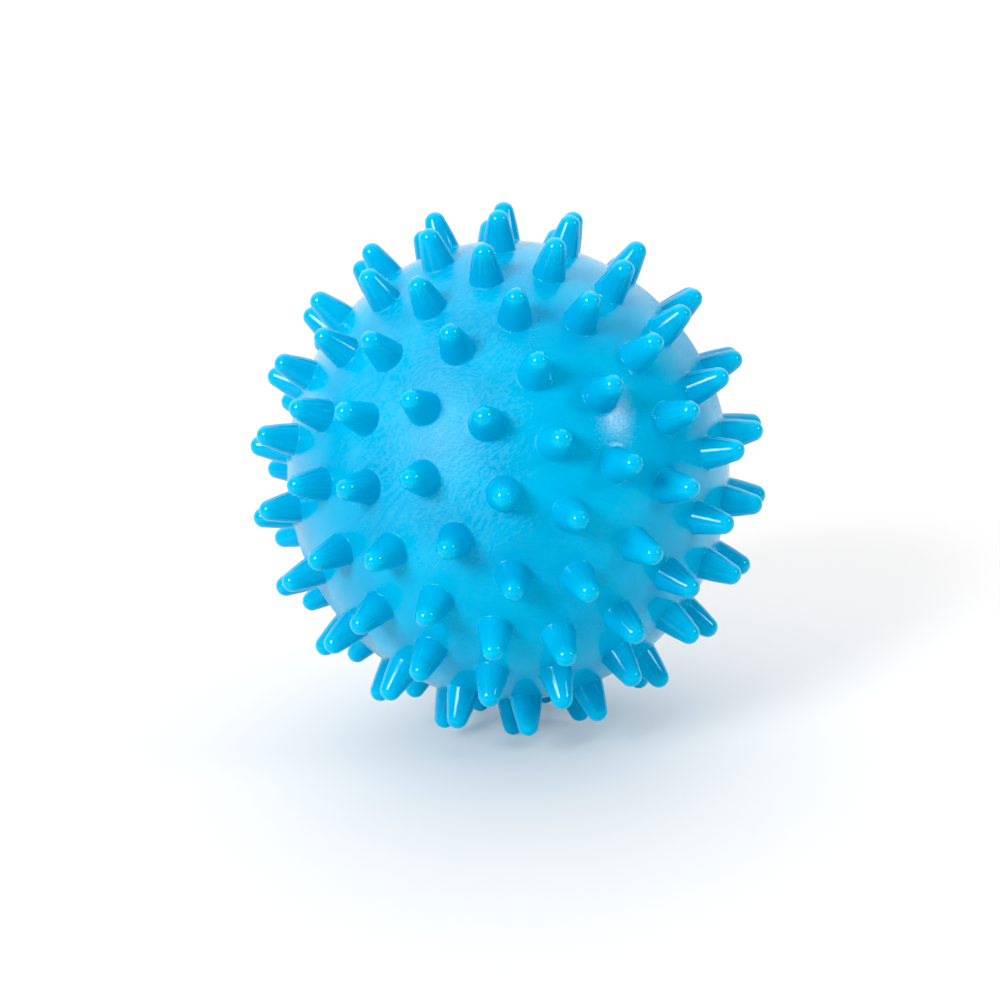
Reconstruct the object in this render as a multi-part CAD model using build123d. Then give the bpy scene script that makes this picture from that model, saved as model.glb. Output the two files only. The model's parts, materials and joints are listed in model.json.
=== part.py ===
from build123d import *

import math
import os

# A soft spiked massage ball, blown hollow, standing on three of its spikes.
# Millimetres, +Z up. The origin is the ball's centre.
# The mould is two equal cups that meet at a parting plane, so the spikes are laid out
# in the mould's own frame: +Z along the mould axis, the parting plane at Z = 0, and +X
# along the axis about which one cup is turned over to become the other.

# Driving dimensions
BALL_WIDTH = 75.4  # skin to skin along X: the soft ball is a little narrow this way
BALL_HEIGHT = 78.4  # skin to skin along Z, and along Y
WALL = 2.2  # thickness of the moulded skin
SPIKE_LENGTH = 6.6  # from the skin to the end of the tip
SPIKE_FOOT_R = 2.75  # where the spike meets the skin
SPIKE_TIP_R = 1.75  # the rounded end
SPIKE_ROOT = 1.0  # how far a spike is drawn on into the wall before it is cut to the skin
SPIKE_PITCH = 16.0  # degrees between neighbours, along a ring and from ring to ring

# Each ring of a cup: the angle from the mould axis, and where its first spike stands.
# The last ring is half a pitch from the parting plane, a little over that for the seam.
RINGS = (
    (16.4, 11.9),
    (32.2, 11.6),
    (47.8, 14.5),
    (63.4, 5.1),
    (80.8, 0.0),
)

# How the ball has come to rest: turned about the mould axis, that axis tipped over
# from upright, then swung round the vertical.
REST_SPIN = 176.1
REST_TILT = 70.5
REST_SWING = -78.3

# Inflation valve, at the back end of the mould axis
VALVE_SEAT_R = 3.5  # hole through the skin
VALVE_DEPTH = 9.0  # length of the valve's barrel below the outside
VALVE_FLANGE_R = 6.0  # collar behind the wall
VALVE_FLANGE = 1.2  # its thickness
VALVE_CORE_R = 2.2  # self-sealing core inside the barrel
VALVE_CORE_LIP = 1.1  # closed end of the core that reaches out of the barrel
NEEDLE_R = 1.0  # the channel for an inflating needle
NEEDLE_DEPTH = 6.0  # from the mouth to the closed lips
NEEDLE_FUNNEL = 0.6  # depth of the cone that leads the needle in
NEEDLE_FUNNEL_R = 1.6  # the cone's mouth
LIP_HALF = 0.5  # half the thickness of the core's closed lips at their end
LIP_ACROSS = 1.76  # half the width of the lips at their end


def ball(width, height):
    """A solid ball, width across along X and height across along Y and Z."""
    return scale(Sphere(height / 2), by=(width / height, 1, 1))


def spike_blank():
    """One spike along +Z with the skin at Z = 0; its root is cut to the skin later."""
    lean = math.atan2(SPIKE_FOOT_R - SPIKE_TIP_R, SPIKE_LENGTH - SPIKE_TIP_R)
    cap_z = SPIKE_LENGTH - SPIKE_TIP_R
    side_x = SPIKE_TIP_R * math.cos(lean)
    side_z = cap_z + SPIKE_TIP_R * math.sin(lean)
    root_r = SPIKE_FOOT_R + SPIKE_ROOT * math.tan(lean)
    with BuildPart() as blank:
        with BuildSketch(Plane.XZ):
            with BuildLine():
                Line((0, SPIKE_LENGTH), (0, -SPIKE_ROOT))
                Line((0, -SPIKE_ROOT), (root_r, -SPIKE_ROOT))
                Line((root_r, -SPIKE_ROOT), (side_x, side_z))
                RadiusArc((side_x, side_z), (0, SPIKE_LENGTH), -SPIKE_TIP_R)
            make_face()
        revolve(axis=Axis.Z)
    return blank.part


def rest_attitude():
    """Turns the mould's frame into the part's frame."""
    return Rot(0, 0, REST_SWING) * Rot(0, REST_TILT, 0) * Rot(0, 0, REST_SPIN)


def ring_count(angle):
    """Spikes that fit round a ring at this angle from the mould axis."""
    return round(360 * math.sin(math.radians(angle)) / SPIKE_PITCH)


def ring_directions(angle, start, back):
    """Directions of one ring's spikes, in the mould's frame."""
    count = ring_count(angle)
    reach = math.sin(math.radians(angle))
    rise = math.cos(math.radians(angle))
    directions = []
    for number in range(count):
        turn = math.radians(start + 360 / count * number)
        direction = Vector(reach * math.cos(turn), reach * math.sin(turn), rise)
        if back:
            direction = Vector(direction.X, -direction.Y, -direction.Z)
        directions.append(direction)
    return directions


def skin_plane(direction):
    """The plane that touches the skin where this direction of the mould's frame leads."""
    toward = (rest_attitude() * Pos(direction)).position
    half_width = BALL_WIDTH / 2
    half_height = BALL_HEIGHT / 2
    foot = Vector(toward.X * half_width, toward.Y * half_height, toward.Z * half_height)
    normal = Vector(toward.X / half_width, toward.Y / half_height, toward.Z / half_height)
    return Plane(origin=foot, z_dir=normal.normalized())


def spikes(directions, body):
    """Separate spikes standing square on the skin, each cut to meet it."""
    blank = spike_blank()
    solids = []
    for direction in directions:
        standing = skin_plane(direction).location * blank
        solids.append((standing - body).solid())
    return Compound(children=solids)


def valve_frame():
    """+Z out of the valve, from the ball's centre."""
    out = (rest_attitude() * Pos(0, 0, -1)).position
    return Plane(origin=(0, 0, 0), z_dir=out)


def valve_mouth():
    """Height of the skin along the valve's axis."""
    out = valve_frame().z_dir
    across = out.X / (BALL_WIDTH / 2)
    along = math.hypot(out.Y, out.Z) / (BALL_HEIGHT / 2)
    return 1 / math.hypot(across, along)


def rod(radius, low, high):
    """A rod about the valve's axis, from low to high along it."""
    middle = (low + high) / 2
    return valve_frame().location * Pos(0, 0, middle) * Cylinder(radius, high - low)


def valve_housing(outside, inside):
    """Barrel flush with the skin, with a collar bearing on the inner wall."""
    mouth = valve_mouth()
    proud = mouth + WALL
    deep = mouth - VALVE_DEPTH
    collar_low = mouth - 2 * WALL - VALVE_FLANGE
    barrel = rod(VALVE_SEAT_R, deep, proud) & outside
    collar = rod(VALVE_FLANGE_R, collar_low, proud) & inside
    trim = rod(VALVE_FLANGE_R, collar_low, mouth - WALL - VALVE_FLANGE)
    return barrel + (collar - trim) - rod(VALVE_CORE_R, deep - WALL, proud)


def needle_channel():
    """The space for the needle: a blind hole with a lead-in cone."""
    mouth = valve_mouth()
    bottom = mouth - NEEDLE_DEPTH
    funnel_floor = mouth - NEEDLE_FUNNEL
    cone_at = valve_frame().location * Pos(0, 0, funnel_floor + NEEDLE_FUNNEL / 2)
    cone = cone_at * Cone(NEEDLE_R, NEEDLE_FUNNEL_R, NEEDLE_FUNNEL)
    above = rod(NEEDLE_FUNNEL_R, mouth, mouth + WALL)
    return rod(NEEDLE_R, bottom, mouth + WALL) + cone + above


def valve_core(outside):
    """Self-sealing plug whose inner end pinches flat into two closed lips."""
    mouth = valve_mouth()
    deep = mouth - VALVE_DEPTH
    end = deep - VALVE_CORE_LIP
    plug = rod(VALVE_CORE_R, deep, mouth + WALL) & outside
    lip_plane = Plane(
        origin=valve_frame().z_dir * deep,
        x_dir=valve_frame().x_dir,
        z_dir=valve_frame().z_dir * -1,
    )
    with BuildPart() as lips:
        with BuildSketch(lip_plane):
            Circle(VALVE_CORE_R)
        with BuildSketch(lip_plane.offset(deep - end)):
            Rectangle(2 * LIP_ACROSS, 2 * LIP_HALF)
        loft()
    return plug + lips.part - needle_channel()


def ball_skin(outside, inside):
    """The hollow moulded wall, with the valve's seat."""
    mouth = valve_mouth()
    return outside - inside - rod(VALVE_SEAT_R, mouth - 3 * WALL, mouth + WALL)


def save(shape, node):
    """Write one node, named as its file is."""
    shape.label = node
    export_step(shape, f"parts/{node}.step")


def main():
    os.makedirs("parts", exist_ok=True)
    outside = ball(BALL_WIDTH, BALL_HEIGHT)
    inside = ball(BALL_WIDTH - 2 * WALL, BALL_HEIGHT - 2 * WALL)
    save(ball_skin(outside, inside), "ball_skin")
    save(spikes([Vector(0, 0, 1)], outside), "front_crown_spike")
    for number, (angle, start) in enumerate(RINGS, 1):
        front = ring_directions(angle, start, back=False)
        rear = ring_directions(angle, start, back=True)
        save(spikes(front, outside), f"front_spikes_ring_{number}")
        save(spikes(rear, outside), f"back_spikes_ring_{number}")
    save(valve_housing(outside, inside), "valve_housing")
    save(valve_core(outside), "valve_core")
    out = valve_frame().z_dir
    channel = (valve_mouth() - NEEDLE_FUNNEL + valve_mouth() - NEEDLE_DEPTH) / 2
    print("needle channel middle", out * channel, "axis", out)


main()
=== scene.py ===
# %% [markdown]
# # A spiked massage ball
# The ball is a hollow PVC moulding with 155 blunt spikes on it, and it is pumped up
# through a small self-sealing valve at its back. The packed design gives the true sizes,
# and this lesson builds the surfaces that a person sees and touches.
# It starts by loading that design, and notes its box, which nothing may leave.

# %% Load the design
import json
import math
import random

import bmesh
import bpy
import numpy as np
from mathutils import Matrix, Vector
from mathutils.geometry import delaunay_2d_cdt

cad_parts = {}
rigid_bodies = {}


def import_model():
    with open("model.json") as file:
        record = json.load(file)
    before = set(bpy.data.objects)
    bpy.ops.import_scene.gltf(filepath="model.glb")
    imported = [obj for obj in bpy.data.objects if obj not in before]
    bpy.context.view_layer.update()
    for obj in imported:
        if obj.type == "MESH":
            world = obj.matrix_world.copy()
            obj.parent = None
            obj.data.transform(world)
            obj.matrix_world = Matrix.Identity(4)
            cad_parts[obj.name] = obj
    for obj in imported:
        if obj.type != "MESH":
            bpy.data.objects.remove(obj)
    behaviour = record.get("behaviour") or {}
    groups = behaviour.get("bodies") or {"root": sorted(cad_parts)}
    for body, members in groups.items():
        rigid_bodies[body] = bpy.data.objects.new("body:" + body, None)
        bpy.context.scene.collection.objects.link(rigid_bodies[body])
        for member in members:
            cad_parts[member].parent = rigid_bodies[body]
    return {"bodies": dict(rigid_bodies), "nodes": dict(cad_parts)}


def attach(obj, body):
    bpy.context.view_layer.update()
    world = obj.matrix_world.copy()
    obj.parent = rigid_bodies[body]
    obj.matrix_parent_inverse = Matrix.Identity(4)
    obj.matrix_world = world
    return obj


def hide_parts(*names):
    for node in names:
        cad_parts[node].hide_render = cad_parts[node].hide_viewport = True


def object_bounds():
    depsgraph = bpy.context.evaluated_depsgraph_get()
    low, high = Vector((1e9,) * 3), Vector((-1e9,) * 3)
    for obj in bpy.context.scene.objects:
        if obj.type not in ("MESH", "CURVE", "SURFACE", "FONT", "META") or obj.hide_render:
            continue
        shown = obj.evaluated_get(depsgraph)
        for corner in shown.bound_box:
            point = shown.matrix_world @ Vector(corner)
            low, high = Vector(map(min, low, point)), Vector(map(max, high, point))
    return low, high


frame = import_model()
cad_low, cad_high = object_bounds()
print("nodes in the design:", len(frame["nodes"]))
print("its box, mm:", [round(side * 1000, 2) for side in cad_high - cad_low])

# %% [markdown]
# ## Sizes
# Blender's unit here is the metre, so `MM` turns the maker's millimetres into it.
# The skin is very nearly a globe: soft PVC sags and stretches a little, so it is
# 3 mm narrower from side to side than it is tall. A globe that is scaled afterwards
# would flatten its spikes too, so the skin is kept as three half-axes, along X, Y and
# Z, and everything that stands on it is worked out from them.

# %% The skin's sizes
MM = 0.001
BALL_WIDTH = 75.4 * MM
BALL_HEIGHT = 78.4 * MM
WALL = 2.2 * MM

skin_axes = np.array([BALL_WIDTH, BALL_HEIGHT, BALL_HEIGHT]) / 2
lining_axes = skin_axes - WALL
print("skin half-axes, mm:", (skin_axes / MM).round(2))

# %% [markdown]
# ## Where the spikes stand
# The mould is two equal cups. A maker lays out one cup, a crown spike and five rings
# round it, and turns the same pattern over for the other cup. The valve takes the place
# of the second crown spike. A ring is two angles, in degrees: how far it lies from the
# mould's axis, and where its first spike stands. The number of spikes follows from the
# pitch, so 155 directions come from ten numbers. Three turns then bring the mould's
# axis to the way the ball has come to rest on the table.

# %% Directions of the spikes
SPIKE_PITCH = 16.0  # degrees between neighbours
RINGS = ((16.4, 11.9), (32.2, 11.6), (47.8, 14.5), (63.4, 5.1), (80.8, 0.0))
REST_SPIN = 176.1
REST_TILT = 70.5
REST_SWING = -78.3


def turn(angle, axis):
    return np.array(Matrix.Rotation(math.radians(angle), 3, axis))


def cup_directions():
    """The crown and the rings of one cup, with the mould's axis up."""
    directions = [(0.0, 0.0, 1.0)]
    for angle, start in RINGS:
        reach = math.sin(math.radians(angle))
        rise = math.cos(math.radians(angle))
        count = round(360 * reach / SPIKE_PITCH)
        for number in range(count):
            t = math.radians(start + 360 / count * number)
            directions.append((reach * math.cos(t), reach * math.sin(t), rise))
    return np.array(directions)


attitude = turn(REST_SWING, "Z") @ turn(REST_TILT, "Y") @ turn(REST_SPIN, "Z")
front_cup = cup_directions()
back_cup = front_cup[1:] * (1, -1, -1)
toward = np.vstack([front_cup, back_cup]) @ attitude.T
feet = toward * skin_axes
valve_out = attitude @ (0, 0, -1)
print("spikes:", len(feet))

# %% [markdown]
# ## Points on the skin
# The skin, the spikes and the rounded corners between them come out of the mould in
# one piece. Cones pushed through a ball would be quicker, but they would meet it in a
# hard line that the real moulding doesn't have, so here they are one mesh. The skin
# gets a net of points that leaves a clear round patch at the foot of each spike. A
# golden-angle spiral spreads the points evenly, with no poles and no seams.

# %% A spiral of points
POINT_GAP = 1.15 * MM
GOLDEN_ANGLE = math.pi * (3 - math.sqrt(5))


def spiral(axes, gap):
    """Evenly spread points of a unit sphere, about `gap` apart once on the skin."""
    share = gap / axes.mean()
    count = int(4 * math.pi / (math.sqrt(3) / 2 * share**2))
    step = np.arange(count) + 0.5
    height = 1 - 2 * step / count
    reach = np.sqrt(1 - height**2)
    angle = GOLDEN_ANGLE * step
    return np.column_stack([reach * np.cos(angle), reach * np.sin(angle), height])


spread = spiral(skin_axes, POINT_GAP)
print("points spread over the whole skin:", len(spread))

# %% [markdown]
# ## Square on the skin
# Each spike stands square on the skin, in a small frame of its own. `drop` slides
# points along the spike's axis until they meet the skin, so the ring round a foot lies
# exactly on it. Blender's shrinkwrap could do the same, but only onto a mesh, and the
# skin's own formula has no facets. `SIDEWAYS` is any direction that no spike points
# along, and it gives every frame a first side.

# %% Frames and rings
SIDEWAYS = (0.31, 0.17, 0.93)


def upright(normal):
    """Two directions across a unit normal, and the normal, as the rows of a matrix."""
    side = np.cross(normal, SIDEWAYS)
    side = side / np.linalg.norm(side)
    return np.array([side, np.cross(normal, side), normal])


def circle(count, radius, offset=0.0):
    t = (np.arange(count) + offset) * (2 * math.pi / count)
    return radius * np.column_stack([np.cos(t), np.sin(t)])


def drop(points, along, axes):
    """Slides points along a line until they meet the skin, on the side it points to."""
    p = points / axes
    d = along / axes
    a = d @ d
    b = p @ d
    c = (p * p).sum(axis=1) - 1
    reach = (-b + np.sqrt(b * b - a * c)) / a
    return points + reach[:, None] * along


def ring_on_skin(origin, rows, radius, axes, count, offset=0.0):
    flat = origin + circle(count, radius, offset) @ rows[:2]
    return drop(flat, rows[2], axes)


normals = feet / skin_axes**2
normals = normals / np.linalg.norm(normals, axis=1)[:, None]
spike_frames = [upright(normal) for normal in normals]
print("frames for spikes:", len(spike_frames))

# %% [markdown]
# ## The parting line
# Where the two cups of the mould meet, a hair of PVC is left standing. A bump in the
# finish would show it only on the face of the skin, not at the rim, so it is real: it is
# 0.07 mm high. It needs rows of points close together, or it would be lost between the
# skin's own points. Each row is given as millimetres across and millimetres high.

# %% Rows for the parting line
SEAM_ROWS = ((-0.42, 0.0), (-0.2, 0.03), (0.0, 0.07), (0.2, 0.03), (0.42, 0.0))
SEAM_COUNT = 440  # points along a row


def seam_points():
    """Directions of the seam's rows, and how far each point stands off the skin."""
    points = []
    rise = []
    for across, height in SEAM_ROWS:
        tilt = across * MM / skin_axes.mean()
        ring = np.zeros((SEAM_COUNT, 3))
        ring[:, :2] = circle(SEAM_COUNT, math.cos(tilt))
        ring[:, 2] = math.sin(tilt)
        points.append(ring @ attitude.T)
        rise += [height * MM] * SEAM_COUNT
    return np.vstack(points), np.array(rise)


seam, seam_rise = seam_points()
print("points in the parting line:", len(seam))

# %% [markdown]
# ## The valve's seat
# At the back, where the crown of the second cup would be, a round hole through the
# wall takes the valve. A boolean cut would leave thin slivers round the hole, so the
# hole's edge is a ring of the net from the start. Its frame has the valve's axis up.

# %% The seat
SEAT_R = 3.5 * MM
SEAT_EDGE = 0.3 * MM  # rounding of its mouth
SEAT_APRON = 1.0 * MM
SEAT_AROUND = 64

centre = np.zeros(3)
valve_rows = upright(valve_out)
valve_mouth = 1 / np.linalg.norm(valve_out / skin_axes)
seat_edge = ring_on_skin(centre, valve_rows, SEAT_R + SEAT_EDGE, skin_axes, SEAT_AROUND)
seat_apron = ring_on_skin(centre, valve_rows, SEAT_R + SEAT_APRON, skin_axes, SEAT_AROUND)
print("valve mouth, mm from the centre:", round(valve_mouth / MM, 3))

# %% [markdown]
# ## Rings at the feet
# Two rings of points stand round the foot of each spike: one where its rounded corner
# begins, and a wider one, the apron, that eases the fine mesh at the foot into the
# coarser skin. Spread points that lie too near a foot, the seat or the parting line
# would make thin triangles there, so they are dropped.

# %% Points of the skin
SPIKE_FOOT_R = 2.75 * MM
FILLET = 0.22 * MM
FOOT_EDGE_R = SPIKE_FOOT_R + FILLET
APRON_R = FOOT_EDGE_R + 0.7 * MM
AROUND = 32  # points round a spike
APRON_CLEAR_R = APRON_R + 0.55 * POINT_GAP
SEAT_CLEAR_R = SEAT_R + 1.7 * MM
SEAM_CLEAR = 0.95 * MM


def clear_of(unit, axes, centres, radius):
    """True for each point that is further than radius from every centre."""
    keep = np.ones(len(unit), bool)
    for place in centres:
        keep &= ((unit * axes - place) ** 2).sum(axis=1) > radius**2
    return keep


foot_rings = []
apron_rings = []
for foot, rows in zip(feet, spike_frames):
    foot_rings.append(ring_on_skin(foot, rows, FOOT_EDGE_R, skin_axes, AROUND))
    apron_rings.append(ring_on_skin(foot, rows, APRON_R, skin_axes, AROUND, 0.5))

keep = clear_of(spread, skin_axes, feet, APRON_CLEAR_R)
keep &= clear_of(spread, skin_axes, [valve_out * valve_mouth], SEAT_CLEAR_R)
keep &= np.abs(spread @ attitude[:, 2]) > SEAM_CLEAR / skin_axes.mean()
open_skin = spread[keep]
print("points kept on the open skin:", len(open_skin))

# %% [markdown]
# ## Joining the points into triangles
# Points on a globe can be flattened from one pole without any two trading places: that
# is the stereographic map, and it keeps circles round. The pole chosen is the middle of
# the valve's hole, so the whole skin becomes one disc whose rim is the seat. Blender's
# Delaunay routine joins the points of the disc into well-shaped triangles, and the
# triangles that bridge the foot of a spike are left out. Blender's own globes come
# ready joined, but then the rings at the feet would have to be cut into them.

# %% Triangulate the skin
SAME_POINT = 1e-9  # points nearer than this on the disc count as one


def flatten(unit, rows):
    """Stereographic map of unit vectors, from the pole that rows[2] points to."""
    local = unit @ rows.T
    return local[:, :2] / (1 - local[:, 2:3])


def triangles(unit, rows):
    flat = [Vector(p) for p in flatten(unit, rows)]
    return delaunay_2d_cdt(flat, [], [], 0, SAME_POINT)[2]


def foot_first(number):
    """Index of the first point of the ring at a spike's foot."""
    return SEAT_AROUND + number * AROUND


net_rings = [seat_edge, *foot_rings, seat_apron, *apron_rings]
skin_unit = np.vstack([*[ring / skin_axes for ring in net_rings], seam, open_skin])
owner = np.full(len(skin_unit), -1)
owner[:SEAT_AROUND] = len(feet)
for number in range(len(feet)):
    owner[foot_first(number) : foot_first(number + 1)] = number


def bridges(face):
    """True for a triangle that only spans one foot, or the seat."""
    owners = {owner[index] for index in face}
    return len(owners) == 1 and -1 not in owners


skin_faces = [face for face in triangles(skin_unit, valve_rows) if not bridges(face)]
print("skin points and triangles:", len(skin_unit), len(skin_faces))

# %% [markdown]
# ## Raising the parting line
# The triangles were found on the bare skin, where no ridge can confuse them. Only now
# do the seam's points move outwards to their heights.

# %% Raise the parting line
seam_first = 2 * foot_first(len(feet))
lift = np.zeros(len(skin_unit))
lift[seam_first : seam_first + len(seam)] = seam_rise
skin_points = skin_unit * skin_axes * (1 + lift / skin_axes.mean())[:, None]
print("height of the parting line, mm:", round(lift.max() / MM, 3))

# %% [markdown]
# ## The shape of a spike
# A spike is a cone with a round end and a very slight belly. Where it meets the skin the
# mould's edge was rounded off with a cutter, which leaves a small hollow corner. A
# bevel would round that corner too, but it can't follow a ring on a curved skin as
# closely as a quadratic curve that runs from the skin to the cone and is tangent to both.

# %% The outline of a spike
SPIKE_LENGTH = 6.6 * MM
SPIKE_TIP_R = 1.75 * MM
SPIKE_BELLY = 0.1 * MM
FILLET_STEPS = 3
SIDE_STEPS = 5
CAP_STEPS = 7

cap_z = SPIKE_LENGTH - SPIKE_TIP_R
cone_lean = math.atan2(SPIKE_FOOT_R - SPIKE_TIP_R, cap_z)
cone_top = cap_z + SPIKE_TIP_R * math.sin(cone_lean)


def belly(height):
    return SPIKE_BELLY * math.sin(math.pi * height / cone_top)


def side_radius(height):
    """Radius of the cone at a height above the skin, with its slight belly."""
    return SPIKE_FOOT_R - height * math.tan(cone_lean) + belly(height)


def spike_rows():
    """(radius, height) of the rows of the cone and the round end, from the fillet up."""
    rows = []
    for step in range(SIDE_STEPS):
        height = FILLET + (cone_top - FILLET) * step / SIDE_STEPS
        rows.append((side_radius(height), height))
    for step in range(CAP_STEPS):
        angle = cone_lean + (math.pi / 2 - cone_lean) * step / CAP_STEPS
        rows.append((SPIKE_TIP_R * math.cos(angle), cap_z + SPIKE_TIP_R * math.sin(angle)))
    return rows


def round_corner(start, corner, end, t):
    """A point at t, from 0 to 1, of the quadratic curve that rounds a corner."""
    return (1 - t) ** 2 * start + 2 * t * (1 - t) * corner + t**2 * end


print("rows up a spike:", FILLET_STEPS + len(spike_rows()))

# %% [markdown]
# ## Growing the spikes
# The ring at the foot is already part of the skin. Each further row is joined to the
# one below it with four-sided faces, and a fan closes the tip. Copies of one spike
# would look stamped: soft spikes never come out of the mould quite alike, so each leans
# by up to a degree and is up to one part in fifty short. The chance has a fixed seed,
# so the ball is the same on every run.

# %% Rows and joins
MOST_LEAN = 0.9  # degrees
MOST_SHORT = 0.02
chance = random.Random(155)
points = list(skin_points)
faces = [list(face) for face in skin_faces]


def add_ring(ring):
    first = len(points)
    points.extend(ring)
    return list(range(first, first + len(ring)))


def join(below, above):
    for index in range(len(below)):
        after = (index + 1) % len(below)
        faces.append([below[index], below[after], above[after], above[index]])


def leaning(rows):
    """The spike's own frame, tipped a little in a chance direction."""
    swing = chance.uniform(0, 2 * math.pi)
    lean = math.tan(math.radians(chance.uniform(0, MOST_LEAN)))
    axis = rows[2] + lean * (math.cos(swing) * rows[0] + math.sin(swing) * rows[1])
    axis = axis / np.linalg.norm(axis)
    side = rows[0] - axis * (rows[0] @ axis)
    side = side / np.linalg.norm(side)
    return np.array([side, np.cross(axis, side), axis])


print("points and faces of the bare skin:", len(points), len(faces))

# %% [markdown]
# The skin's ring, the sharp corner where cone and skin would meet, and the cone's
# lowest row are the three rings that the rounded corner is drawn between.

# %% Grow the spikes
def grow(number):
    foot = feet[number]
    rows = spike_frames[number]
    tipped = leaning(rows)
    height_share = 1 - chance.uniform(0, MOST_SHORT)
    rings = []
    for radius, height in spike_rows():
        flat = circle(AROUND, radius)
        rings.append(foot + flat @ tipped[:2] + height * height_share * tipped[2])

    edge = foot_rings[number]
    corner = ring_on_skin(foot, rows, SPIKE_FOOT_R, skin_axes, AROUND)
    fillet = []
    for step in range(1, FILLET_STEPS):
        fillet.append(round_corner(edge, corner, rings[0], step / FILLET_STEPS))

    below = list(range(foot_first(number), foot_first(number + 1)))
    for ring in fillet + rings:
        above = add_ring(ring)
        join(below, above)
        below = above
    tip = len(points)
    points.append(foot + SPIKE_LENGTH * height_share * tipped[2])
    for index in range(AROUND):
        faces.append([below[index], below[(index + 1) % AROUND], tip])


for number in range(len(feet)):
    grow(number)
print("points and faces with the spikes on:", len(points), len(faces))

# %% [markdown]
# ## The inside of the wall
# A blown ball has a wall of even thickness. Blender's Solidify would line every spike
# too, but the real spikes are solid, so the lining is a second, smaller skin. Nobody
# sees it, so it is coarser. The bore of the seat joins the two skins into one closed
# mesh, and the bore's mouth is rounded in a few rows.

# %% Line the wall
LINING_GAP = 3.0 * MM
BORE_CLEAR_R = SEAT_R + 0.5 * LINING_GAP
MOUTH_ROWS = (0.3, 0.6, 1.0)  # shares of the quarter turn that rounds the mouth


def line_the_wall():
    """Adds the lining, and gives the ring of points where the bore meets it."""
    inner_edge = ring_on_skin(centre, valve_rows, SEAT_R, lining_axes, SEAT_AROUND)
    cloud = spiral(lining_axes, LINING_GAP)
    bore = [valve_out * (valve_mouth - WALL)]
    cloud = cloud[clear_of(cloud, lining_axes, bore, BORE_CLEAR_R)]
    unit = np.vstack([inner_edge / lining_axes, cloud])
    indices = add_ring(unit * lining_axes)
    for face in triangles(unit, valve_rows):
        if max(face) >= SEAT_AROUND:
            faces.append([indices[index] for index in face])
    return indices[:SEAT_AROUND]


def bore_the_seat(inner_edge):
    below = list(range(SEAT_AROUND))
    for share in MOUTH_ROWS:
        angle = share * math.pi / 2
        radius = SEAT_R + SEAT_EDGE * (1 - math.sin(angle))
        depth = SEAT_EDGE * (1 - math.cos(angle))
        ring = ring_on_skin(centre, valve_rows, radius, skin_axes, SEAT_AROUND)
        above = add_ring(ring - depth * valve_out)
        join(below, above)
        below = above
    join(below, inner_edge)


bore_the_seat(line_the_wall())
print("points and faces of the whole moulding:", len(points), len(faces))

# %% [markdown]
# ## One closed mesh
# The faces were made without minding which way they look, so Blender turns them all
# outwards. The check below counts edges that don't have exactly two faces: a sound
# moulding has none.

# %% Make the moulding
def make_piece(name, corners, polygons):
    """A smooth-shaded, closed mesh object, with its faces turned outwards."""
    mesh = bpy.data.meshes.new(name)
    mesh.from_pydata([tuple(p) for p in corners], [], polygons)
    work = bmesh.new()
    work.from_mesh(mesh)
    bmesh.ops.recalc_face_normals(work, faces=work.faces)
    open_edges = sum(len(edge.link_faces) != 2 for edge in work.edges)
    loose = sum(not corner.link_faces for corner in work.verts)
    volume = work.calc_volume()
    work.to_mesh(mesh)
    work.free()
    mesh.shade_smooth()
    piece = bpy.data.objects.new(name, mesh)
    bpy.context.scene.collection.objects.link(piece)
    print(name, "open edges", open_edges, "loose", loose, "mm3", round(volume / MM**3, 1))
    return piece


moulding = make_piece("moulded_ball", points, faces)

# %% [markdown]
# ## The valve
# A needle valve is two parts. The housing is a stiffer PVC barrel, welded into the
# seat, with a collar behind the wall. Inside it sits a soft rubber core that lets a
# needle in and closes behind it. Both are round, so one function spins an outline
# round the valve's axis. Blender's Screw modifier spins outlines too, but the core's
# inner end is pinched flat, and here each row may be wider across than along.
# Heights are measured from the mouth, outwards.

# %% Turned parts
VALVE_AROUND = 72


def spin(name, outline, closed):
    """Turns an outline of (radius across, radius along, height) about the valve's axis."""
    corners = []
    polygons = []
    for across, along, height in outline:
        ring = circle(VALVE_AROUND, 1.0) * (across, along)
        corners.extend(ring @ valve_rows[:2] + (valve_mouth + height) * valve_out)
    count = len(outline)
    pairs = count if closed else count - 1
    for row in range(pairs):
        low = row * VALVE_AROUND
        high = (row + 1) % count * VALVE_AROUND
        for index in range(VALVE_AROUND):
            after = (index + 1) % VALVE_AROUND
            polygons.append([low + index, low + after, high + after, high + index])
    if not closed:
        for row in (0, count - 1):
            middle = len(corners)
            corners.append((valve_mouth + outline[row][2]) * valve_out)
            low = row * VALVE_AROUND
            for index in range(VALVE_AROUND):
                after = (index + 1) % VALVE_AROUND
                polygons.append([low + index, low + after, middle])
    return make_piece(name, corners, polygons)


print("points round a turned part:", VALVE_AROUND)

# %% [markdown]
# Moulded parts have no knife edges, because the cutter that made their mould is round.
# Every corner of an outline gets the curve that rounds the foot of a spike. The outlines
# are in millimetres, and each is a list of only the corners that the shape needs.

# %% Rounded outlines
CORNER_STEPS = 4
MOST_OF_A_SIDE = 0.45  # the share of a side that one corner may take


def rounded(outline, radius, closed):
    """An outline of (radius, height) with its corners rounded, or all but its two ends."""
    smooth = []
    count = len(outline)
    for index in range(count):
        here = np.array(outline[index], float)
        if not closed and index in (0, count - 1):
            smooth.append(here)
            continue
        before = np.array(outline[index - 1], float) - here
        after = np.array(outline[(index + 1) % count], float) - here
        sides = np.linalg.norm(before), np.linalg.norm(after)
        room = min(radius, MOST_OF_A_SIDE * sides[0], MOST_OF_A_SIDE * sides[1])
        start = here + before / sides[0] * room
        end = here + after / sides[1] * room
        for step in range(CORNER_STEPS + 1):
            smooth.append(round_corner(start, here, end, step / CORNER_STEPS))
    return smooth


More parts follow.
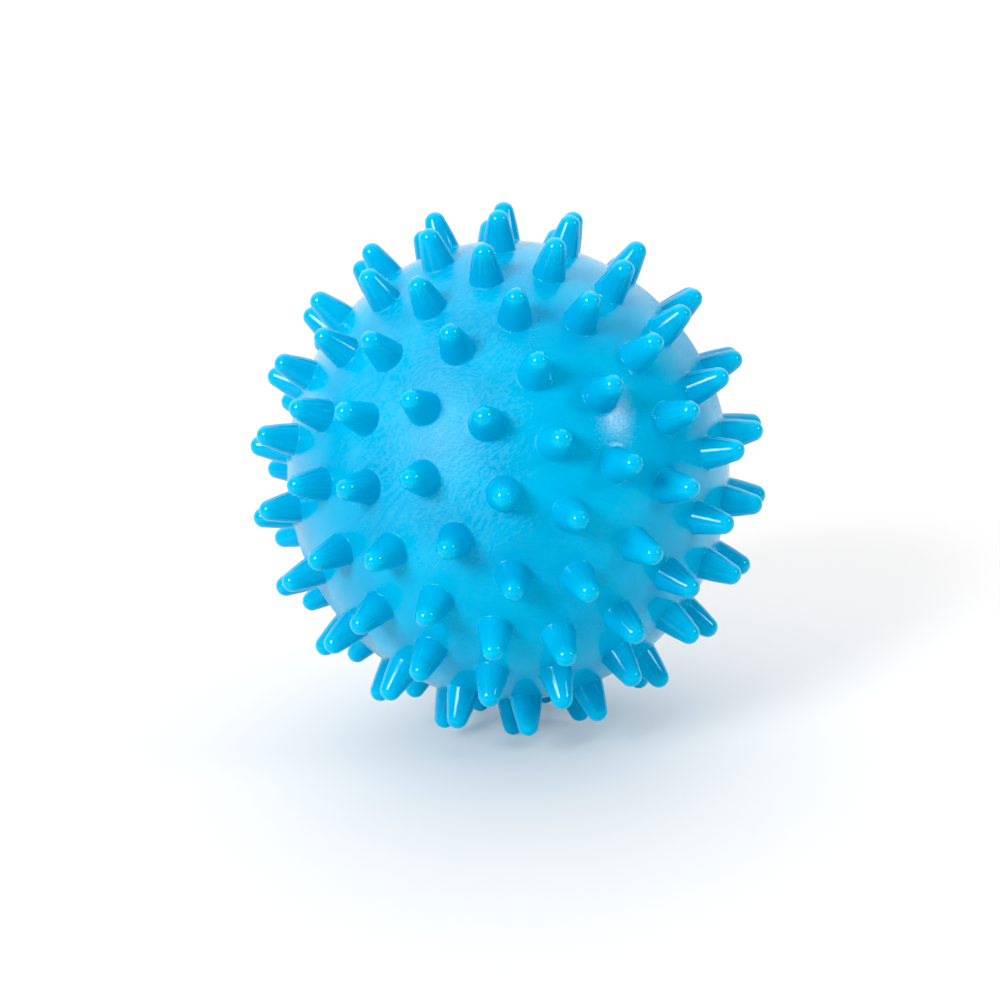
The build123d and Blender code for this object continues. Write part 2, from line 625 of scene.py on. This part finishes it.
def in_metres(outline):
    """Round rows of a turned part, from an outline in millimetres."""
    return [(r * MM, r * MM, height * MM) for r, height in outline]


print("points in place of a corner:", CORNER_STEPS + 1)

# %% [markdown]
# The barrel's face lies flush with the skin and has a fine groove turned in it, where
# the welding tool pressed. The collar hugs the inside of the wall.

# %% The housing
BARREL_R = SEAT_R / MM
WALL_DEPTH = WALL / MM
VALVE_DEPTH = 9.0
COLLAR_R = 6.0
COLLAR = 1.2
CORE_R = 2.2
HOUSING_CORNER = 0.12

housing_outline = [
    (CORE_R, -0.1),
    (2.75, -0.1),  # the groove's inner edge
    (2.85, -0.32),
    (3.05, -0.32),
    (3.15, -0.12),  # and its outer edge
    (BARREL_R, -0.2),
    (BARREL_R, -WALL_DEPTH - 0.2),
    (COLLAR_R, -WALL_DEPTH - 0.52),  # the collar slopes, as the wall does
    (COLLAR_R, -WALL_DEPTH - COLLAR),
    (BARREL_R, -WALL_DEPTH - COLLAR),
    (BARREL_R, -VALVE_DEPTH),
    (CORE_R, -VALVE_DEPTH),
]
housing_rows = in_metres(rounded(housing_outline, HOUSING_CORNER, closed=True))
housing = spin("welded_valve_housing", housing_rows, closed=True)

# %% [markdown]
# The core's face is a shallow dish that leads to the needle's hole. Its inner end is
# pinched flat into two lips, which the air inside the ball presses shut.

# %% The core
NEEDLE_R = 1.0
FUNNEL_R = 1.6
NEEDLE_DEPTH = 6.0
LIP_ACROSS = 1.76
LIP_HALF = 0.5
LIP_REACH = 1.1
LIP_STEPS = 6
CORE_CORNER = 0.1

core_outline = [
    (0.15, -NEEDLE_DEPTH),
    (NEEDLE_R, -NEEDLE_DEPTH),
    (NEEDLE_R, -0.75),
    (FUNNEL_R, -0.22),
    (1.95, -0.14),  # the dish's rim
    (CORE_R, -0.28),
    (CORE_R, -VALVE_DEPTH),
]
core_rows = in_metres(rounded(core_outline, CORE_CORNER, closed=False))
for step in range(1, LIP_STEPS + 1):
    share = step / LIP_STEPS
    across = CORE_R + (LIP_ACROSS - CORE_R) * share
    along = CORE_R + (LIP_HALF - CORE_R) * share
    core_rows.append((across * MM, along * MM, (-VALVE_DEPTH - LIP_REACH * share) * MM))
core = spin("soft_valve_core", core_rows, closed=False)

# %% [markdown]
# ## Writing finishes as sums
# A finish in Blender is a graph of nodes. It could be wired node by node, but a long
# recipe is hard to read that way. `Wire` holds one output of the graph, and sums and
# products of wires add the Math nodes that work them out. Every other node comes from
# `node`, which takes the node's type, its settings, and its sockets.

# %% A small language for finishes
class Wire:
    """One output socket of a node graph."""

    def __init__(self, tree, socket=None):
        self.tree = tree
        self.socket = socket

    def node(self, kind, settings=None, sockets=None, output=0):
        """Adds a node: its settings first, then the values or wires of its sockets."""
        made = self.tree.nodes.new(kind)
        for name, value in (settings or {}).items():
            setattr(made, name, value)
        for key, value in (sockets or {}).items():
            if isinstance(value, Wire):
                self.tree.links.new(value.socket, made.inputs[key])
            else:
                made.inputs[key].default_value = value
        return Wire(self.tree, made.outputs[output] if made.outputs else None)

    def maths(self, operation, *terms):
        sockets = dict(enumerate(terms))
        return self.node("ShaderNodeMath", {"operation": operation}, sockets)

    def vector(self, operation, *terms, output=0):
        sockets = dict(enumerate((self, *terms)))
        return self.node("ShaderNodeVectorMath", {"operation": operation}, sockets, output)

    def along(self, direction):
        """How far this vector reaches along a direction."""
        return self.vector("DOT_PRODUCT", direction, output="Value")

    def ramp(self, low, high):
        """0 up to low, 1 from high on, and a smooth slope between them."""
        limits = {"Value": self, "From Min": low, "From Max": high}
        settings = {"interpolation_type": "SMOOTHSTEP", "clamp": True}
        return self.node("ShaderNodeMapRange", settings, limits)

    def mix(self, first, second):
        """Blends two colours: all of the second where this wire is 1."""
        sockets = {0: self, 6: first, 7: second}  # the node's sockets for colours
        return self.node("ShaderNodeMix", {"data_type": "RGBA"}, sockets, 2)

    def __add__(self, other):
        return self.maths("ADD", self, other)

    def __radd__(self, other):
        return self.maths("ADD", other, self)

    def __sub__(self, other):
        return self.maths("SUBTRACT", self, other)

    def __rsub__(self, other):
        return self.maths("SUBTRACT", other, self)

    def __mul__(self, other):
        return self.maths("MULTIPLY", self, other)

    def __rmul__(self, other):
        return self.maths("MULTIPLY", other, self)


print("a Wire can:", [name for name in vars(Wire) if not name.startswith("_")])

# %% [markdown]
# ## Steps that every finish takes
# A finish starts as an empty graph and ends in Blender's Principled shader. Between
# them comes noise, because no real surface is even: `grain` makes lumps of a given size
# in millimetres, in the object's own space. A picture wrapped round the ball would need
# a seam and would stretch at the poles, and noise in space does neither.

# %% Helpers for finishes
def new_finish(name):
    """An empty material, and a wire to start its graph from."""
    finish = bpy.data.materials.new(name)
    finish.use_nodes = True
    finish.node_tree.nodes.clear()
    return finish, Wire(finish.node_tree)


def place_on(graph):
    """The place of each point of the object, in metres."""
    return graph.node("ShaderNodeTexCoord", output="Object")


def grain(place, size_mm, detail=2.0, stretch=(1, 1, 1), lean=(0, 0, 0), output=0):
    """Noise with lumps about size_mm across, stretched along the axes of a turned frame."""
    per_metre = [1 / (size_mm * MM * share) for share in stretch]
    turned = place.node("ShaderNodeMapping", None, {"Vector": place, "Rotation": lean})
    scaled = turned.vector("MULTIPLY", per_metre)
    sockets = {"Vector": scaled, "Scale": 1.0, "Detail": detail}
    return place.node("ShaderNodeTexNoise", None, sockets, output)


def bump(graph, relief, strength, depth):
    """Tilts the light on ridges and hollows that are too small for the mesh."""
    sockets = {"Strength": strength, "Distance": depth, "Height": relief}
    return graph.node("ShaderNodeBump", None, sockets)


def end_in_shader(graph, sockets):
    shader = graph.node("ShaderNodeBsdfPrincipled", None, sockets)
    graph.node("ShaderNodeOutputMaterial", None, {"Surface": shader})


print("helpers ready:", [step.__name__ for step in (new_finish, grain, bump, end_in_shader)])

# %% [markdown]
# ## Where hands rub the skin
# A ball that has been handled is dull in some places and still glossy in others.
# `HANDLED` lists the middles of the dull places, as directions from the
# ball's centre. A painted mask would do it too, but it would need a file of its own.
# Lumpy noise is added before the slope, so that no dull place has a clean edge.
# The same places get the palest strokes. These are partly real scratch whitening and partly a
# painted reflection haze of the key soft box.

# %% Wear
HANDLED = (
    (-0.28, -0.91, 0.32),
    (-0.30, -0.50, 0.81),
    (0.85, 0.10, 0.50),
    (-0.55, 0.70, 0.45),
    (0.45, 0.80, -0.35),
    (-0.80, -0.10, -0.55),
)
WORN_REACH = (0.83, 0.99)  # cosines of the angles at a dull place's edge and middle
WORN_SLOPE = (0.12, 0.85)  # sums of reach and noise that are hardly and fully worn


def wear(place):
    """1 where the skin is rubbed most, and 0 where it is hardly touched."""
    outward = place.vector("NORMALIZE")
    worn = grain(place, size_mm=9.0) - 0.5
    for direction in HANDLED:
        worn = worn + outward.along(direction).ramp(*WORN_REACH)
    return worn.ramp(*WORN_SLOPE)


print("dull places on the skin:", len(HANDLED))

# %% [markdown]
# ## Rub marks
# Rubbing leaves fine strokes that cross each other. Drawing them one by one would take
# days, but noise that is much longer than it is wide looks the same. Two sets of it lie
# at different angles. Their places are first pushed about by a slow noise of colours,
# read as directions, so that the strokes bend.
# The strokes also pale the skin's colour. That paleness is partly real scratch whitening and
# partly a painted reflection haze of the key soft box.

# %% Strokes
STROKE_PUSH = 6 * MM
RUBBED = {"size_mm": 1.0, "stretch": (12.0, 0.5, 0.5), "lean": (0.3, 0.9, 0.6)}
BRUSHED = {"size_mm": 1.0, "stretch": (10.0, 0.4, 0.4), "lean": (0.0, 0.2, -0.4)}
RUBBED_SHARE = 0.55
BRUSHED_SHARE = 0.45
LEAST_MARKS = 0.06  # left where the skin isn't worn


def rub_marks(place, worn):
    slow = grain(place, size_mm=12.0, detail=1.0, output="Color")
    pushed = place.vector("ADD", slow.vector("MULTIPLY", [STROKE_PUSH] * 3))
    strokes = grain(pushed, **RUBBED) * RUBBED_SHARE + grain(pushed, **BRUSHED) * BRUSHED_SHARE
    return strokes.ramp(0.40, 0.60) * (LEAST_MARKS + (1 - LEAST_MARKS) * worn)


print("a stroke's length and width, mm:", RUBBED["stretch"][:2], BRUSHED["stretch"][:2])

# %% [markdown]
# ## The skin's finish
# Both the skin and the spikes are one cyan PVC, but the mould leaves them different:
# the cups were blasted, which makes the skin satin with fine lines in it, and the
# spikes' holes were drilled and polished, which makes them shine. They could be two
# materials, but then the border would follow the triangles. A point's height above the
# skin tells them apart smoothly: dividing its place by the skin's half-axes gives a
# length of 1 on the skin itself. The thin tips let light through, so they are paler.
# Their paler colour is painted glow: light that passes through the thin tips, put into the
# colour.

# %% Soft cyan PVC
DEEP_CYAN = (0.0, 0.38, 0.66, 1)
CLEAR_CYAN = (0.0, 0.45, 0.735, 1)
# painted glow of light through the thin tips
GLOWING_TIP_CYAN = (0.0, 0.53, 0.83, 1)
# pale strokes: partly real scratch whitening, partly painted reflection haze
RUBBED_AND_SHEEN_CYAN = (0.10, 0.50, 0.78, 1)
TIP_GLOW_SHARE = 0.5
MARKS_AND_SHEEN_PALER = 0.26
SMOOTH = 0.17  # roughness of PVC that nothing has rubbed
WORN_ROUGHER = 0.21
MARKS_ROUGHER = 0.1
TIP_SMOOTHER = 0.06
CLOUD_ROUGHER = 0.03
RELIEF = 0.028 * MM
LINES_SHARE = 0.35  # of the relief's depth
PORES_SHARE = 0.05
SPIKE_STARTS = (0.05, 0.5)  # mm above the skin
TIP_STARTS = (3.8, 5.6)
PVC_BENDS_LIGHT = 1.46
MEAN_RADIUS_MM = float(skin_axes.mean() / MM)


def height_above_skin(place):
    """How far a point stands above the skin, in millimetres."""
    swell = place.vector("DIVIDE", list(skin_axes)).vector("LENGTH", output="Value")
    return (swell - 1) * MEAN_RADIUS_MM


def soft_pvc():
    finish, graph = new_finish("cyan_soft_pvc")
    place = place_on(graph)
    height = height_above_skin(place)
    spike = height.ramp(*SPIKE_STARTS)
    tip = height.ramp(*TIP_STARTS)
    skin = 1 - spike
    worn = wear(place)
    marks = rub_marks(place, worn)
    cloud = grain(place, size_mm=14.0, detail=3.0)

    tint = cloud.ramp(0.35, 0.65).mix(DEEP_CYAN, CLEAR_CYAN)
    # painted glow: the tips are paled as if lit through
    colour = (tip * TIP_GLOW_SHARE).mix(tint, GLOWING_TIP_CYAN)
    # painted sheen: pale strokes, partly real scratch whitening and partly a painted
    # reflection haze
    colour = (marks * skin * MARKS_AND_SHEEN_PALER).mix(colour, RUBBED_AND_SHEEN_CYAN)

    satin = SMOOTH + WORN_ROUGHER * worn + MARKS_ROUGHER * marks
    shine = SMOOTH - TIP_SMOOTHER * tip + CLOUD_ROUGHER * cloud
    roughness = satin * skin + shine * spike

    lines = grain(place, size_mm=1.0, stretch=(6.0, 0.2, 0.2)).ramp(0.45, 0.65)
    pores = grain(place, size_mm=0.3)
    relief = marks + lines * LINES_SHARE + pores * PORES_SHARE
    relief = relief * (1 - 0.9 * spike)  # a tenth of it is left on the polished spikes
    sockets = {"Base Color": colour, "Roughness": roughness, "IOR": PVC_BENDS_LIGHT}
    sockets["Normal"] = bump(graph, relief, 1.0, RELIEF)
    end_in_shader(graph, sockets)
    return finish


moulding.data.materials.append(soft_pvc())
print("finish:", moulding.data.materials[0].name)

# %% [markdown]
# ## The valve's finishes
# The housing is the same PVC with less softener in it, so it is a shade paler and
# glossier. The core is milky natural rubber, dusted with talc to keep its lips free.
# One flat colour each would do for parts this small, but a close look would show it,
# so both get clouds in their colour and a fine grain.

# %% Valve finishes
HOUSING_BLUES = (0.10, 0.50, 0.76, 1), (0.17, 0.58, 0.82, 1)
RUBBER_WHITES = (0.60, 0.62, 0.58, 1), (0.78, 0.79, 0.74, 1)
HOUSING_ROUGHNESS = 0.2
TALC_ROUGHNESS = 0.5
VALVE_RELIEF = 0.02 * MM


def valve_pvc():
    finish, graph = new_finish("pale_valve_pvc")
    place = place_on(graph)
    cloud = grain(place, size_mm=2.5, detail=3.0)
    fine = grain(place, size_mm=0.12, detail=3.0)
    sockets = {"Base Color": cloud.ramp(0.3, 0.7).mix(*HOUSING_BLUES)}
    sockets["Roughness"] = HOUSING_ROUGHNESS + 0.14 * fine
    sockets["Normal"] = bump(graph, fine, 0.3, VALVE_RELIEF)
    end_in_shader(graph, sockets)
    return finish


def valve_rubber():
    finish, graph = new_finish("milky_valve_rubber")
    place = place_on(graph)
    cloud = grain(place, size_mm=1.2, detail=4.0)
    fine = grain(place, size_mm=0.08, detail=3.0)
    sockets = {"Base Color": cloud.ramp(0.3, 0.7).mix(*RUBBER_WHITES)}
    sockets["Roughness"] = TALC_ROUGHNESS + 0.2 * cloud
    sockets["Normal"] = bump(graph, fine, 0.5, VALVE_RELIEF)
    end_in_shader(graph, sockets)
    return finish


housing.data.materials.append(valve_pvc())
core.data.materials.append(valve_rubber())
print("valve finishes:", housing.data.materials[0].name, core.data.materials[0].name)

# %% [markdown]
# ## Tying the pieces to the design
# Each new piece rides on the design's one body and stands for the nodes that it
# shows better. The moulding stands for the skin, the front crown's spike and all ten
# rings of spikes, because on the real ball they are one piece.

# %% Ride and replace
BODY = next(iter(frame["bodies"]))
spike_nodes = [name for name in frame["nodes"] if "spike" in name]

for piece, stands_for, slot in (
    (moulding, ["ball_skin", *spike_nodes], "soft_pvc"),
    (housing, ["valve_housing"], "valve_pvc"),
    (core, ["valve_core"], "valve_rubber"),
):
    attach(piece, BODY)
    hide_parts(*stands_for)
print("the moulding stands for", len(spike_nodes) + 1, "nodes")

# %% [markdown]
# ## The table
# The ball stands on three spikes on a white table top, so wide that its edge never
# shows. It is a lit table, with lamps under its white acrylic. A clear top with real
# lamps below it would be slow to render and grainy, so the top itself gives a faint
# glow, which keeps the shade under the ball light.

# %% Floor
FLOOR_REACH = 12.0  # metres
FLOOR_SIDES = 96
TABLE_WHITE = (0.66, 0.645, 0.63, 1)
TABLE_ROUGHNESS = 0.6
TABLE_GLOW = 0.215


def make_floor(height):
    mesh = bpy.data.meshes.new("table_top")
    corners = [(x, y, height) for x, y in circle(FLOOR_SIDES, FLOOR_REACH)]
    mesh.from_pydata(corners, [], [list(range(FLOOR_SIDES))])
    top = bpy.data.objects.new("table_top", mesh)
    bpy.context.scene.collection.objects.link(top)
    finish, graph = new_finish("white_table")
    sockets = {"Base Color": TABLE_WHITE, "Roughness": TABLE_ROUGHNESS}
    sockets["Emission Color"] = (1, 1, 1, 1)
    sockets["Emission Strength"] = TABLE_GLOW
    end_in_shader(graph, sockets)
    mesh.materials.append(finish)


make_floor(cad_low.z)
print("table top below the ball's centre, mm:", round(-cad_low.z / MM, 2))

# %% [markdown]
# ## Two soft boxes
# One soft box stands left of the camera, and a weaker one stands right of it. They
# light the front of the ball, and each puts a small bright dot on every polished tip.
# Area lamps could stand for them, but lamps that near would light the table unevenly.
# Blender's sun lights everything alike, and its angle makes it as broad as a soft box.

# %% Soft boxes
TOWARD_KEY = (-0.564, -0.671, 0.479)
KEY_STRENGTH = 2.0
KEY_BREADTH = 22  # degrees, as the ball sees it
WARM_WHITE = (1.0, 0.99, 0.98)
TOWARD_SIDE = (0.83, -0.349, 0.438)
SIDE_STRENGTH = 0.57
SIDE_BREADTH = 13
COOL_WHITE = (0.98, 0.99, 1.0)


def soft_box(name, toward_light, strength, breadth, colour):
    lamp = bpy.data.lights.new(name, "SUN")
    lamp.energy = strength
    lamp.angle = math.radians(breadth)
    lamp.color = colour
    light = bpy.data.objects.new(name, lamp)
    light.rotation_mode = "QUATERNION"
    light.rotation_quaternion = Vector(toward_light).to_track_quat("Z", "Y")
    bpy.context.scene.collection.objects.link(light)
    print(name, "strength", strength, "breadth", breadth)


soft_box("key_soft_box", TOWARD_KEY, KEY_STRENGTH, KEY_BREADTH, WARM_WHITE)
soft_box("side_soft_box", TOWARD_SIDE, SIDE_STRENGTH, SIDE_BREADTH, COOL_WHITE)

# %% [markdown]
# ## The room
# A white room fills in the rest. One even white would wash the cyan out, so the room is
# brightest overhead and behind the ball, a little brighter on the left than on the
# right, and dim behind the camera, where the front of the skin would mirror it. Each
# bright side is a direction, the cosines at which its glow begins and is full, and how
# strong it is there.

# %% A white room
ROOM_WHITE = (0.97, 0.98, 1.0, 1)
ROOM_EVEN = 0.18
ROOM_BACK = ((0, 1, 0), (0.0, 0.9), 1.0)
ROOM_ABOVE = ((0, 0, 1), (0.3, 0.9), 0.82)
ROOM_LEFT = ((-1, 0, 0), (0.0, 0.8), 0.14)


def white_room():
    world = bpy.data.worlds.new("white_room")
    world.use_nodes = True
    world.node_tree.nodes.clear()
    graph = Wire(world.node_tree)
    look = graph.node("ShaderNodeTexCoord", output="Generated")
    glow = ROOM_EVEN
    for direction, spread, strength in (ROOM_BACK, ROOM_ABOVE, ROOM_LEFT):
        glow = glow + strength * look.along(direction).ramp(*spread)
    sockets = {"Color": ROOM_WHITE, "Strength": glow}
    sky = graph.node("ShaderNodeBackground", None, sockets)
    graph.node("ShaderNodeOutputWorld", None, {"Surface": sky})
    bpy.context.scene.world = world


white_room()
print("room:", bpy.context.scene.world.name)

# %% [markdown]
# ## Camera
# The camera looks a little down on the ball from about 37 cm, with a portrait lens,
# and is tilted by under three degrees. Blender can aim a camera with a Track To
# constraint, but that keeps it level, so its three axes are worked out here instead.

# %% Camera
CAMERA_REACH = 374 * MM
CAMERA_RISE = math.radians(14.1)
CAMERA_ROLL = math.radians(2.69)
CAMERA_LENS = 78.6
AIM_RIGHT = -1.42 * MM
AIM_UP = -5.05 * MM


def make_camera():
    back = Vector((0, -math.cos(CAMERA_RISE), math.sin(CAMERA_RISE)))
    up = Vector((0, math.sin(CAMERA_RISE), math.cos(CAMERA_RISE)))
    right = Vector((1, 0, 0))
    rolled_right = right * math.cos(CAMERA_ROLL) - up * math.sin(CAMERA_ROLL)
    rolled_up = up * math.cos(CAMERA_ROLL) + right * math.sin(CAMERA_ROLL)
    eye = back * CAMERA_REACH
    aim = rolled_right * AIM_RIGHT + rolled_up * AIM_UP
    z = (eye - aim).normalized()
    x = rolled_up.cross(z).normalized()
    camera = bpy.data.objects.new("camera", bpy.data.cameras.new("camera"))
    camera.matrix_world = Matrix([x, z.cross(x), z]).transposed().to_4x4()
    camera.location = eye
    camera.data.lens = CAMERA_LENS
    bpy.context.scene.collection.objects.link(camera)
    bpy.context.scene.camera = camera
    return camera


camera = make_camera()
print("camera at, mm:", [round(side / MM, 1) for side in camera.location])

# %% [markdown]
# ## Tones
# The plain "Standard" view keeps white paper white. Taking a little off the darkest
# tones clears the grey veil that a bright room lays over a glossy skin.

# %% Tones
BLACK = 0.036

tones = bpy.context.scene.view_settings
tones.view_transform = "Standard"
tones.use_curve_mapping = True
tones.curve_mapping.black_level = (BLACK, BLACK, BLACK)
tones.curve_mapping.update()
print("tones:", tones.view_transform, "black level", BLACK)

# %% [markdown]
# The finished pieces have to fit in the design's box.
